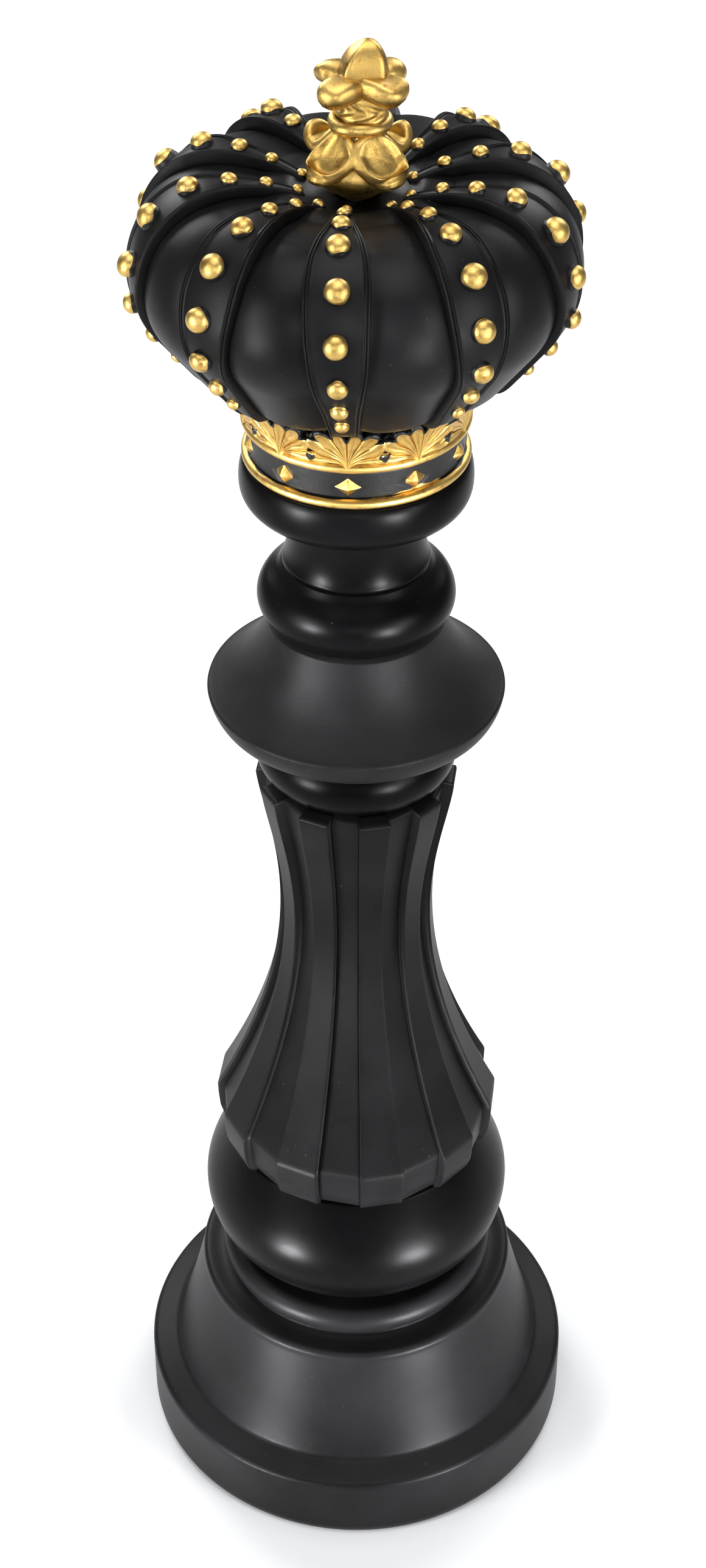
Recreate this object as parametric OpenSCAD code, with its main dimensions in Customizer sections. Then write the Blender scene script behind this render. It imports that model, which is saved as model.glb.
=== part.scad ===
// Giant chess king: hollow cast segments stacked on a tie rod, with a studded crown and a gilt finial.
// Frame: millimetres, +Z up, origin at the centre of the resting face, -Y is the front.

/* [Foot] */
// Outer radius of the plinth
plinth_r = 93; // [88:1:98]
// Height of the plinth's outer edge
plinth_h = 33.3; // [30:0.1:34]
// Radius where the foot's cone meets the plinth
cone_r = 81.4; // [78:0.1:84]
// Radius at the shoulder of the foot's cone
shoulder_r = 66; // [62:0.5:70]
// Wall thickness of the foot casting
foot_wall = 6; // [4:0.5:8]

/* [Body] */
// Greatest radius of the bulb
bulb_r = 64.7; // [62:0.1:66]
// Radius of the pleated column at its hem
hem_r = 58.7; // [57:0.1:60]
// Radius of the pleated column at its top
column_top_r = 38.9; // [37:0.1:40]
// Number of pleat faces round the column
pleat_faces = 20; // [20:4:20]
// Direction of the plane in which the pleats mirror, from +X
pleat_turn = -79.3; // [-90:0.1:-60]
// Greatest radius of the waist bead
waist_bead_r = 38.5; // [37:0.1:40]
// Radius of the collar's rim
collar_r = 55.9; // [52:0.1:58]
// Greatest radius of the neck ring
neck_ring_r = 36.4; // [35:0.1:38]
// Greatest radius of the cup under the crown
cup_r = 41.9; // [40.5:0.1:43]

/* [Crown] */
// Number of ribs, diamonds and leaves round the crown
ribs = 10; // [10:1:10]
// Direction of the front rib, from +X
rib_turn = -94.3; // [-100:0.1:-80]
// Greatest radius of the crown over its ribs
crown_r = 76.3; // [74:0.1:78]
// Angle that one rib covers
rib_angle = 16.8; // [14:0.1:20]
// Height of a rib above the cap between the ribs
rib_rise = 2.2; // [1.5:0.1:3]
// Thickness of the crown cap's wall
cap_wall = 6; // [4:0.5:8]
// Greatest radius of a stud
stud_r = 4.6; // [4:0.1:5]

/* [Finial] */
// Radius of the ball at the foot of the finial
calyx_r = 15.4; // [14:0.1:16]
// Lean of the finial towards +X
finial_lean = 3; // [0:0.5:4]
// Reach of the four lower petals from the finial's axis
petal_reach = 19.5; // [17:0.5:21]
// Reach of the four upper lobes from the finial's axis
lobe_reach = 14.8; // [14:0.1:17]

/* [Inside] */
// Radius of the tie rod
rod_r = 4; // [3:0.5:5]
// Radius of the clearance holes for the tie rod
rod_hole_r = 4.5; // [3.5:0.5:5.5]
// Radius of the filler hole in the base board
filler_hole_r = 12; // [10:0.5:14]
// Radial clearance of the filler plug in its hole
plug_clearance = 0.1; // [0.05:0.05:0.3]

/* [Hidden] */
$fn = 96;

casting_colour = [0.05, 0.05, 0.055];
gilt_colour = [0.80, 0.58, 0.18];
steel_colour = [0.62, 0.63, 0.65];

// Heights of the joints between the segments, from the floor up
felt_top = 1.5;
board_top = 7.5;
foot_top = 104;
hem_bottom = 163.6;
hem_z = 186.2;
column_top = 353.2;
waist_top = 376;
collar_top = 424;
ring_top = 449.4;
neck_top = 470.4;
cup_top = 492.5;
band_top = 508.5;
drum_top = 521;
equator_z = 566.5;
crest_z = 598.5;
finial_z = 591;

// Rod seats
web_z = 84;
rod_bottom = 68;
rod_top = 524;

rib_step = 360 / ribs;
pleat_step = 360 / pleat_faces;

// Points on part of an ellipse, from angle a0 to a1, in n steps
function arc(cx, cz, a, b, a0, a1, n) =
    [for (i = [0:n]) let (t = a0 + (a1 - a0) * i / n) [cx + a * cos(t), cz + b * sin(t)]];

// Point at t on a cubic curve with four control points
function bezier(p, t) =
    pow(1 - t, 3) * p[0] + 3 * pow(1 - t, 2) * t * p[1] + 3 * (1 - t) * t * t * p[2] + pow(t, 3) * p[3];

function reversed(line) = [for (i = [1:len(line)]) line[len(line) - i]];

module turned(outline) {
    rotate_extrude() polygon(outline);
}

module rod_hole(bottom, top) {
    translate([0, 0, bottom - 1]) cylinder(r = rod_hole_r, h = top - bottom + 2);
}

// ---- Base ----

felt_r = 90;
board_r = plinth_r - foot_wall - 0.4;
screw_circle_r = 80;
screws = 6;
boss_r = 7.6;

module felt_pad() {
    color([0.08, 0.08, 0.08])
    difference() {
        cylinder(r = felt_r, h = felt_top);
        translate([0, 0, -1]) cylinder(r = filler_hole_r + 6, h = felt_top + 2);
    }
}

module base_board() {
    color([0.45, 0.33, 0.22])
    difference() {
        translate([0, 0, felt_top]) cylinder(r = board_r, h = board_top - felt_top);
        cylinder(r = filler_hole_r, h = board_top + 1);
        for (k = [0:screws - 1])
            rotate([0, 0, 30 + k * 360 / screws])
            translate([screw_circle_r, 0, 0]) {
                cylinder(r = 2, h = board_top + 1);
                translate([0, 0, felt_top - 1]) cylinder(r = 3.8, h = 3.2);
            }
    }
}

module base_screws() {
    color(steel_colour)
    for (k = [0:screws - 1])
        rotate([0, 0, 30 + k * 360 / screws])
        translate([screw_circle_r, 0, 0]) {
            translate([0, 0, felt_top]) cylinder(r = 3.6, h = 2.2);
            translate([0, 0, felt_top + 2]) cylinder(r = 1.8, h = 16);
        }
}

module filler_plug() {
    flange_z = 0.4;
    color([0.1, 0.1, 0.1])
    turned([
        [0, flange_z], [filler_hole_r + 3, flange_z], [filler_hole_r + 3, felt_top],
        [filler_hole_r - plug_clearance, felt_top], [filler_hole_r - plug_clearance, 10],
        [filler_hole_r - 1.5, 13], [0, 13]]);
}

module ballast() {
    color([0.55, 0.53, 0.5])
    turned([[20, board_top], [70, board_top], [70, 30], [60, 62], [20, 62]]);
}

// ---- Foot ----

bead_r = 52;
bead_z = 96;
bead_radius = 6.9;
shoulder_z = 88.4;
cone_z = 36.8;

module foot_casting() {
    outer = concat(
        [[plinth_r - 1, felt_top], [plinth_r, felt_top + 2], [plinth_r, plinth_h - 1.6]],
        arc(plinth_r - 1.6, plinth_h - 1.6, 1.6, 1.6, 20, 80, 3),
        [[cone_r + 0.6, cone_z - 0.6], [cone_r, cone_z], [77.6, 46], [73.8, 58], [70.2, 72]],
        [[shoulder_r + 1.2, shoulder_z - 4]],
        arc(shoulder_r - 1.4, shoulder_z - 2, 2.2, 2, 20, 90, 3),
        [[bead_r + 5, shoulder_z + 1]],
        arc(bead_r, bead_z, bead_radius, bead_radius, -48, 90, 10),
        [[47, 102.6], [46, foot_top]]);
    inner = [
        [rod_hole_r + 30, foot_top], [34.5, web_z + 8], [rod_hole_r, web_z + 8], [rod_hole_r, web_z],
        [shoulder_r - foot_wall - 3, web_z], [cone_r - foot_wall - 4, cone_z],
        [plinth_r - foot_wall, cone_z - 6], [plinth_r - foot_wall, felt_top]];
    color(casting_colour)
    union() {
        turned(concat(outer, inner));
        for (k = [0:screws - 1])
            rotate([0, 0, 30 + k * 360 / screws])
            translate([screw_circle_r, 0, board_top])
            difference() {
                cylinder(r = boss_r, h = 20);
                translate([0, 0, -1]) cylinder(r = 1.8, h = 14);
            }
    }
}

// ---- Tie rod ----

module tie_rod() {
    color(steel_colour) translate([0, 0, rod_bottom]) cylinder(r = rod_r, h = rod_top - rod_bottom);
}

module rod_nut(z) {
    color(steel_colour)
    difference() {
        translate([0, 0, z]) cylinder(r = 7.5, h = 6.5, $fn = 6);
        translate([0, 0, z - 1]) cylinder(r = rod_r, h = 9);
    }
}

module rod_washer(z) {
    color(steel_colour)
    difference() {
        translate([0, 0, z]) cylinder(r = 14, h = 2);
        translate([0, 0, z - 1]) cylinder(r = rod_r + 0.2, h = 4);
    }
}

// ---- Bulb and column ----

bulb_z = 132.7;
bulb_cr = 43.2;
bulb_low = 25.2;
bulb_high = 34;
cove_r = 52;

module bulb() {
    half = bulb_r - bulb_cr;
    outer = concat(
        [[34, foot_top], [46, foot_top], [45.6, 107.6]],
        arc(bulb_cr, bulb_z, half, bulb_low, -78, 0, 12),
        arc(bulb_cr, bulb_z, half, bulb_high, 6, 65, 9),
        [[44, hem_bottom], [34, hem_bottom]]);
    inner = [[34, 154], [50, 147], [57, bulb_z], [50, 117], [34, 111]];
    color(casting_colour) turned(concat(outer, inner));
}

// Outline of the column between the pleats' depths: the hem's cove, then the long waist
column_line = concat(
    [[cove_r, hem_bottom], [56.6, 168], [hem_r - 0.6, 175], [hem_r, hem_z - 1.4], [hem_r, hem_z]],
    [for (i = [1:14])
        bezier([[hem_r, hem_z], [12.6, 278.4], [36.2, 323.3], [column_top_r, column_top]], i / 14)]);

// Inside of the column, from its top down
column_hollow = [[24, column_top], [24, 330], [21, 290], [24, 245], [33, 214], [46, 184], [44, hem_bottom]];

// Depth of an under face below the outer line at its near and far edge from the mirror plane, at the hem
under_near = 1.3;
under_far = 2.9;
// How much deeper both edges are at the column's top
near_gain = 1.5;
far_gain = 1.1;

function signed_face(face) = face > pleat_faces / 2 ? face - pleat_faces : face;

function pleat_depth(face, far, z) =
    let (height = max(0, (z - hem_z) / (column_top - hem_z)))
    signed_face(face) % 2 == 0 ? 0 :
    far ? under_far + far_gain * height * height : under_near + near_gain * height * height;

function pleat_point(face, side, line) =
    let (r = line[0] - pleat_depth(face, signed_face(face) * side > 0, line[1]))
    let (angle = pleat_turn + face * pleat_step + side * pleat_step / 2)
    [r * cos(angle), r * sin(angle), line[1]];

function hollow_point(i, around, line) =
    let (angle = pleat_turn - pleat_step / 2 + (i + 0.5) * 360 / around)
    [line[0] * cos(angle), line[0] * sin(angle), line[1]];

// The column is one closed skin: pleated rings up the outside, then plain rings down the inside
module pleated_column() {
    around = 2 * pleat_faces;
    rings = len(column_line) + len(column_hollow);
    outside = [for (line = column_line) for (face = [0:pleat_faces - 1]) for (side = [-1, 1])
        pleat_point(face, side, line)];
    inside = [for (line = column_hollow) for (i = [0:around - 1]) hollow_point(i, around, line)];
    faces = [for (j = [0:rings - 1]) for (i = [0:around - 1])
        let (up = (j + 1) % rings, next = (i + 1) % around)
        for (half = [0, 1])
            half == 0 ?
            [j * around + i, up * around + i, up * around + next] :
            [j * around + i, up * around + next, j * around + next]];
    color(casting_colour) polyhedron(concat(outside, inside), faces, convexity = 6);
}

module waist_bead() {
    centre_r = waist_bead_r - 10.9;
    outline = concat(
        [[rod_hole_r, column_top], [29, column_top]],
        arc(centre_r, 364.7, 10.9, 11.2, -72, 72, 14),
        [[28, waist_top], [rod_hole_r, waist_top]]);
    color(casting_colour) turned(outline);
}

// ---- Collar and neck ----

collar_z = 394;

module collar() {
    outline = concat(
        [[16, waist_top], [30, waist_top], [43, 379.4], [50.8, 383.8]],
        [[collar_r - 0.1, collar_z - 1], [collar_r - 0.2, collar_z]],
        [for (i = [0:8])
            bezier([[collar_r - 1.6, collar_z + 0.5], [46, 400.5], [38.4, 407], [32.5, collar_top]], i / 8)],
        [[16, collar_top]]);
    color(casting_colour) turned(outline);
}

module neck_ring() {
    outline = concat(
        [[rod_hole_r, collar_top], [29, collar_top]],
        arc(neck_ring_r - 10.6, 434.7, 10.6, 11, -68, 58, 12),
        [[28.6, 446.2], [27, ring_top], [rod_hole_r, ring_top]]);
    color(casting_colour) turned(outline);
}

module neck() {
    outline = concat(
        [[14, ring_top], [26.6, ring_top]],
        [for (i = [0:6]) let (t = i / 6) [25.2 + 1.4 * pow(2 * t - 1, 2), 450.6 + t * 18]],
        [[26.9, neck_top], [14, neck_top]]);
    color(casting_colour) turned(outline);
}

cup_z = 483.6;

module crown_cup() {
    outline = concat(
        [[rod_hole_r, neck_top]],
        [for (i = [0:9])
            bezier([[26.9, neck_top], [cup_r - 1.2, 474.3], [cup_r, 478.8], [cup_r, cup_z]], i / 9)],
        arc(cup_r - 3, cup_z, 3, 8.9, 25, 90, 4),
        [[rod_hole_r, cup_top]]);
    color(casting_colour) turned(outline);
}

// ---- Band, rims, diamonds and leaves ----

band_r = 38.4;
drum_r = 36;
rim_tube = 1.9;
rim_low_z = 494.4;
rim_high_z = 508.4;

module crown_band() {
    rim_seat = band_r - 0.9;
    outline = [
        [14, cup_top], [rim_seat, cup_top], [rim_seat, 496.3], [band_r, 496.3], [band_r, 506.5],
        [rim_seat, 506.5], [rim_seat, 510.3], [drum_r, 510.3], [drum_r, drum_top], [14, drum_top],
        [14, band_top + 5], [rod_hole_r, band_top + 5], [rod_hole_r, band_top - 1], [14, band_top - 1]];
    color(casting_colour) turned(outline);
}

module band_rim(z) {
    rim_seat = band_r - 0.9;
    color(gilt_colour)
    turned(concat(
        [[rim_seat, z - rim_tube]],
        arc(band_r - 0.2, z, 2.4, rim_tube, -90, 90, 10),
        [[rim_seat, z + rim_tube]]));
}

module band_diamonds() {
    color(gilt_colour)
    for (k = [0:ribs - 1])
        rotate([0, 0, rib_turn + k * rib_step])
        translate([band_r - 0.4, 0, (496.3 + 506.5) / 2])
        rotate([0, 90, 0])
        scale([0.85, 1, 1])
        cylinder(r1 = 5, r2 = 0.4, h = 2.8, $fn = 4);
}

module leaf_gallery() {
    leaf_in = 38.6;
    leaf_out = 41;
    leaf_bottom = 510.3;
    leaf_top = 522;
    color(gilt_colour)
    difference() {
        turned([
            [drum_r, leaf_bottom], [leaf_out - 1, leaf_bottom], [leaf_out, leaf_top],
            [leaf_in + 0.6, leaf_top], [leaf_in, leaf_bottom + 2.4], [drum_r, leaf_bottom + 2.4]]);
        for (k = [0:ribs - 1])
            rotate([0, 0, rib_turn + k * rib_step]) {
                translate([leaf_in - 2, 0, leaf_top + 0.6])
                rotate([0, 90, 0])
                cylinder(r = 1.6, h = 8);
                rotate([0, 0, rib_step / 2])
                translate([leaf_in - 2, 0, leaf_top + 0.4])
                rotate([0, 90, 0])
                cylinder(r = 5, h = 8);
                rotate([0, 0, rib_step / 2])
                translate([leaf_in - 2, 0, leaf_bottom + 3.4])
                rotate([0, 90, 0])
                cylinder(r = 1.1, h = 8);
            }
    }
}

// ---- Crown ----

top_arc_r = 71.5;
side_arc_r = 26;

// Outline of the crown from the finial's seat down to the drum, moved in by inset
function crown_line(inset, top_from) = concat(
    arc(48, crest_z - top_arc_r, top_arc_r - inset, top_arc_r - inset, top_from, 92, 6),
    arc(48, equator_z, crown_r - 48 - inset, crest_z - equator_z - inset, 90, 0, 12),
    arc(crown_r - side_arc_r, equator_z, side_arc_r - inset, side_arc_r - inset, -6, -38, 5),
    [[55.2 - 0.8 * inset, 530.5 + 0.6 * inset], [47 - 0.6 * inset, 523.6 + 0.8 * inset]]);

module crown_cap() {
    hub_r = 9;
    color(casting_colour)
    difference() {
        union() {
            turned(concat(
                [[0, finial_z], [17, finial_z]],
                crown_line(rib_rise, 113),
                [[drum_r, drum_top], [14.2, drum_top], [14.2, drum_top + 5], [41, drum_top + 8]],
                [[50, 536], [62, 550], [67, equator_z], [62, 582], [48, 590 - rib_rise]],
                [[24, 586 - rib_rise], [hub_r + 2, 580], [0, 580]]));
            translate([0, 0, 562]) cylinder(r = hub_r, h = 22);
        }
        finial_place() translate([0, 0, -24]) cylinder(r = 3, h = 40);
    }
}

module crown_rib(k) {
    color(casting_colour)
    rotate([0, 0, rib_turn + (k - 1) * rib_step - rib_angle / 2])
    rotate_extrude(angle = rib_angle)
    polygon(concat(crown_line(0, 114), reversed(crown_line(rib_rise, 113))));
}

// Place of a stud on a rib: radius, height, lean of its axis above the horizontal, and share of the full size
stud_places = [
    [20.6, 592.2, 114, 0.42], [30.4, 595.6, 104, 0.50], [42.0, 598.0, 94, 0.63], [55.4, 597.4, 76, 0.81],
    [68.4, 588.8, 47, 0.96], [76.4, 573.8, 15, 0.90], [75.9, 559.4, -16, 0.77], [68.8, 547.4, -38, 0.63],
    [61.4, 538.8, -38, 0.52]];

module rib_studs(k) {
    color(gilt_colour)
    rotate([0, 0, rib_turn + (k - 1) * rib_step])
    for (place = stud_places)
        translate([place[0], 0, place[1]])
        rotate([0, 90 - place[2], 0])
        stud(stud_r * place[3]);
}

// One domed stud on its short collar, standing on z = 0
module stud(r) {
    turned(concat([[0, -1.2], [r, -1.2]], arc(0, 0.2 * r, r, r, 0, 90, 8)));
}

// ---- Finial ----

module finial_place() {
    translate([0, 0, finial_z]) rotate([0, finial_lean, 0]) children();
}

module finial_pin() {
    color(steel_colour) finial_place() translate([0, 0, -22]) cylinder(r = 3, h = 34);
}

module finial_calyx() {
    color(gilt_colour)
    finial_place()
    difference() {
        turned(concat(
            [[0, -0.6], [7.6, -0.6]],
            arc(0, 9, calyx_r, 9, -60, 40, 12),
            [[9, 17.5], [8.2, 22], [0, 22]]));
        translate([0, 0, -1]) cylinder(r = 3, h = 13);
    }
}

module finial_ring() {
    color(gilt_colour)
    finial_place()
    turned(concat([[0, 22]], arc(7.9, 24.6, 2.7, 2.6, -90, 90, 10), [[0, 27.2]]));
}

module finial_bud() {
    color(gilt_colour)
    finial_place()
    turned(concat(
        [[0, 27.2], [7, 27.2], [5.8, 30.5], [6.6, 34.5]],
        arc(0, 40, 8, 12, -10, 80, 10),
        [[0, 52]]));
}

// One petal: a short blade between the ball and its rolled lip
// The two front petals droop more than the two behind
module finial_petal(k) {
    lip_z = k > 2 ? 11 : 14;
    color(gilt_colour)
    finial_place()
    rotate([0, 0, 45 + (k - 1) * 90])
    hull() {
        translate([9.5, 0, 18]) sphere(r = 3, $fn = 20);
        translate([petal_reach - 3.4, -4.6, lip_z]) sphere(r = 3.6, $fn = 20);
        translate([petal_reach - 3.4, 4.6, lip_z]) sphere(r = 3.6, $fn = 20);
    }
}

// One rounded lobe of the upper cross
module finial_lobe(k) {
    color(gilt_colour)
    finial_place()
    rotate([0, 0, 45 + (k - 1) * 90])
    hull() {
        translate([6.5, 0, 36.8]) sphere(r = 3.4, $fn = 20);
        translate([lobe_reach, -1.2, 36.8]) sphere(r = 3.9, $fn = 20);
        translate([lobe_reach, 1.2, 36.8]) sphere(r = 3.9, $fn = 20);
    }
}

felt_pad();
base_board();
base_screws();
filler_plug();
ballast();
foot_casting();
tie_rod();
rod_nut(web_z - 8.5);  // rod_nut_lower
rod_washer(web_z - 2);  // rod_washer_lower
rod_nut(band_top + 7);  // rod_nut_upper
rod_washer(band_top + 5);  // rod_washer_upper
bulb();
pleated_column();
waist_bead();
collar();
neck_ring();
neck();
crown_cup();
crown_band();
band_rim(rim_low_z);  // band_rim_lower
band_rim(rim_high_z);  // band_rim_upper
band_diamonds();
leaf_gallery();
crown_cap();
for (k = [1:ribs]) {
    crown_rib(k);
    rib_studs(k);
}
finial_pin();
finial_calyx();
finial_ring();
finial_bud();
for (k = [1:4]) {
    finial_petal(k);
    finial_lobe(k);
}
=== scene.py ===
# %% [markdown]
# # A giant chess king, finished around its CAD frame
# The CAD model gives every piece its place and size. Here each visible piece gets its cast, painted or
# gilded surface. The black body is resin painted in thin coats, and the crown's studs, leaves and finial
# are gilded by hand.

# %% The frame
import math
import bmesh
import bpy
import numpy as np
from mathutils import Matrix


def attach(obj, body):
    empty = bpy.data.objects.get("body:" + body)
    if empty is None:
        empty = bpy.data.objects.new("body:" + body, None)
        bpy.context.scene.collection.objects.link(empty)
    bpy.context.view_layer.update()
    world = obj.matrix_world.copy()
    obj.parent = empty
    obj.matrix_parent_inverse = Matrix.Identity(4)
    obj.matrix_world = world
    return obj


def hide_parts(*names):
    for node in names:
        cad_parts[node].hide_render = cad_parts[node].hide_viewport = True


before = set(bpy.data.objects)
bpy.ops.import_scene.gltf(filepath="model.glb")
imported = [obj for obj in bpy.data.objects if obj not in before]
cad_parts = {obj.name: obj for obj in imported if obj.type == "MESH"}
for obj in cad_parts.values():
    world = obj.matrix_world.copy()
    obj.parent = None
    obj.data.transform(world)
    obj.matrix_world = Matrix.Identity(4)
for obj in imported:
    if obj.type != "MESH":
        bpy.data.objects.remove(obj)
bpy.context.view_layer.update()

# %% [markdown]
# ## The camera
# A tall thing seen from above and close to gets narrower towards its foot. So the camera stands less than
# a metre away and looks down. The lens and the tilt follow from the ellipses that the foot and the collar
# have to make.

# %% The camera
CAMERA_DISTANCE = 0.797
CAMERA_HEIGHT = 0.961
CAMERA_TILT = math.radians(37.73)
IMAGE_LONG_SIDE = 2576
FOCAL_LENGTHS_LONG = 4284 / IMAGE_LONG_SIDE
SIDE_SHIFT = -5.5 / IMAGE_LONG_SIDE
SENSOR = 36.0

camera_data = bpy.data.cameras.new("camera")
camera = bpy.data.objects.new("camera", camera_data)
bpy.context.scene.collection.objects.link(camera)
camera.location = (0.0, -CAMERA_DISTANCE, CAMERA_HEIGHT)
camera.rotation_euler = (math.pi / 2 - CAMERA_TILT, 0.0, 0.0)
camera_data.lens = SENSOR * FOCAL_LENGTHS_LONG
camera_data.sensor_width = SENSOR
camera_data.shift_x = SIDE_SHIFT
camera_data.clip_start = 0.01
bpy.context.scene.camera = camera
print("lens", round(camera_data.lens, 2), "mm, tilted down", round(math.degrees(CAMERA_TILT), 1), "degrees")

# %% [markdown]
# ## Studio light
# A black piece shows its shape by what it mirrors, so the light comes in patches. Two small boxes near the
# floor put the soft spots on the bulb, two at the height of the column draw its folds, and two tall ones
# light the crown. A narrow box in front and a wide one above fill the tops, and two behind part the edges
# from the floor. A narrow spread keeps a box's light on the part that it is aimed at.

# %% The lights
def softbox(name, azimuth, height, distance, width, tall, power, aim_height=0.30, spread=180):
    """An area light that faces the axis of the piece, at an azimuth from the front in degrees."""
    data = bpy.data.lights.new(name, "AREA")
    data.shape = "RECTANGLE"
    data.size, data.size_y, data.energy = width, tall, power
    data.color = (0.97, 0.98, 1.0)
    data.spread = math.radians(spread)
    lamp = bpy.data.objects.new(name, data)
    turn = math.radians(azimuth)
    lamp.location = (distance * math.sin(turn), -distance * math.cos(turn), height)
    aim = np.array([0.0, 0.0, aim_height]) - np.array(lamp.location)
    tip = math.acos(-aim[2] / np.linalg.norm(aim))
    lamp.rotation_euler = (tip, 0.0, math.atan2(aim[1], aim[0]) - math.pi / 2)
    lamp.visible_camera = False
    bpy.context.scene.collection.objects.link(lamp)


# Name, azimuth, height, distance, width, tall, power, height aimed at, spread in degrees
LAMPS = [
    ("low_left", -42, 0.03, 0.42, 0.09, 0.04, 0.31, 0.12, 44),
    ("low_right", 37, 0.03, 0.42, 0.09, 0.04, 0.31, 0.12, 44),
    ("side_left", -50, 0.46, 0.50, 0.10, 0.16, 0.26, 0.45, 32),
    ("side_right", 34, 0.46, 0.50, 0.10, 0.16, 0.23, 0.45, 32),
    ("tall_left", -58, 0.82, 1.25, 0.40, 0.55, 9.0),
    ("tall_right", 52, 0.80, 1.25, 0.40, 0.55, 8.0),
    ("front", 0, 0.95, 1.30, 0.60, 0.16, 0.16, 0.64, 24),
    ("top", 0, 2.0, 0.10, 1.3, 1.3, 20.0),
    ("back_left", -150, 1.5, 1.9, 1.0, 1.0, 30.0),
    ("back_right", 150, 1.5, 1.9, 1.0, 1.0, 20.0)]
for row in LAMPS:
    softbox(*row)
print(len(LAMPS), "softboxes")

world = bpy.data.worlds.new("pale_room")
bpy.context.scene.world = world
world.use_nodes = True
backdrop = world.node_tree.nodes["Background"]
backdrop.inputs["Color"].default_value = (1.0, 1.0, 1.0, 1.0)
backdrop.inputs["Strength"].default_value = 0.14
bpy.context.scene.view_settings.view_transform = "Standard"

# %% [markdown]
# ## The floor
# The floor is one wide sheet at height zero, under the felt.

# %% The floor
FLOOR_HALF = 6.0
floor_mesh = bpy.data.meshes.new("floor")
floor_corners = [(-FLOOR_HALF, -FLOOR_HALF, 0), (FLOOR_HALF, -FLOOR_HALF, 0),
                 (FLOOR_HALF, FLOOR_HALF, 0), (-FLOOR_HALF, FLOOR_HALF, 0)]
floor_mesh.from_pydata(floor_corners, [], [(0, 1, 2, 3)])
floor = bpy.data.objects.new("floor", floor_mesh)
bpy.context.scene.collection.objects.link(floor)

# %% [markdown]
# ## Surfaces from grids
# Every new piece is a grid of points: rows go along a profile or a path, and columns go round it. Worked
# out as whole arrays, the grid is quick to make, and its UV map can hold real lengths, so a brush mark has
# the same size on every piece.

# %% From a grid to a mesh
MM = 0.001


def polar(radius, angle, height):
    """Points from radius, angle and height: x is radius times cosine, y is radius times sine."""
    return np.stack(np.broadcast_arrays(radius * np.cos(angle), radius * np.sin(angle), height), -1)


def grid_faces(rows, columns, wrap_rows=False):
    """The row and the column of every face of a grid, and its four corners as point numbers.

    The last column joins the first. wrap_rows joins the last row to the first as well.
    """
    row = np.arange(rows if wrap_rows else rows - 1)
    row, column = np.meshgrid(row, np.arange(columns), indexing="ij")
    up, across = (row + 1) % rows, (column + 1) % columns
    corners = [row * columns + column, row * columns + across, up * columns + across, up * columns + column]
    return row, column, np.stack(corners, -1).reshape(-1, 4).tolist()


def end_faces(rows, columns):
    """One face over the first row and one over the last."""
    return [list(range(columns - 1, -1, -1)), list(range((rows - 1) * columns, rows * columns))]


def add_leafing(mesh, values):
    """Stores a value from 0 to 1 at every point, which the gilt material reads."""
    mesh.attributes.new("leafing", "FLOAT", "POINT").data.foreach_set("value", values.reshape(-1))


def finish_piece(name, mesh, body, replaces):
    """Merges doubled points, turns the faces outwards, and hangs the piece on its body for its CAD nodes."""
    shell = bmesh.new()
    shell.from_mesh(mesh)
    bmesh.ops.remove_doubles(shell, verts=shell.verts, dist=0.00002)
    bmesh.ops.recalc_face_normals(shell, faces=shell.faces)
    shell.to_mesh(mesh)
    shell.free()
    mesh.polygons.foreach_set("use_smooth", np.ones(len(mesh.polygons), bool))
    piece = bpy.data.objects.new(name, mesh)
    bpy.context.scene.collection.objects.link(piece)
    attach(piece, body)
    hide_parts(*replaces)
    print(name, len(mesh.vertices), "points")
    return piece

# %% [markdown]
# ## From a grid to a piece
# A grid becomes a mesh with a UV map, then it is finished, painted and hung on its body. Where a CAD node is
# a set of separate things, such as a row of studs, their grids are joined into one mesh.

# %% From a grid to a piece
def paint(piece, *materials):
    """Gives a piece its materials."""
    for material in materials:
        piece.data.materials.append(material)
    return piece


def make_piece(name, points, body="piece", replaces=(), wrap_rows=False, capped=False,
               leafing=None):
    """Joins a grid of points (rows, columns, xyz, in millimetres) into a piece closed round its columns.

    wrap_rows joins the last row to the first. capped closes both end rows with one face each. leafing is
    how far the gold leaf reaches, from 0 to 1 at every point. The UV map holds metres along the columns
    and the rows.
    """
    rows, columns = points.shape[:2]
    row, column, faces = grid_faces(rows, columns, wrap_rows)
    quad_corners = 4 * len(faces)
    if capped:
        faces += end_faces(rows, columns)
    mesh = bpy.data.meshes.new(name)
    mesh.from_pydata((points.reshape(-1, 3) * MM).tolist(), [], faces)
    ring = np.concatenate([points, points[:, :1]], 1)
    around = np.linalg.norm(np.diff(ring, axis=1), axis=2).max(0).cumsum()
    closed = np.concatenate([points, points[:1]], 0)
    along = np.linalg.norm(np.diff(closed, axis=0), axis=2).max(1).cumsum()
    around, along = np.append(0, around) * MM, np.append(0, along) * MM
    u = np.stack([around[column], around[column + 1], around[column + 1], around[column]], -1)
    v = np.stack([along[row], along[row], along[row + 1], along[row + 1]], -1)
    uv = np.zeros((len(mesh.loops), 2))
    uv[:quad_corners] = np.stack([u.reshape(-1), v.reshape(-1)], -1)
    mesh.uv_layers.new(name="lengths").data.foreach_set("uv", uv.ravel())
    if leafing is not None:
        add_leafing(mesh, leafing)
    return finish_piece(name, mesh, body, replaces)


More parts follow.
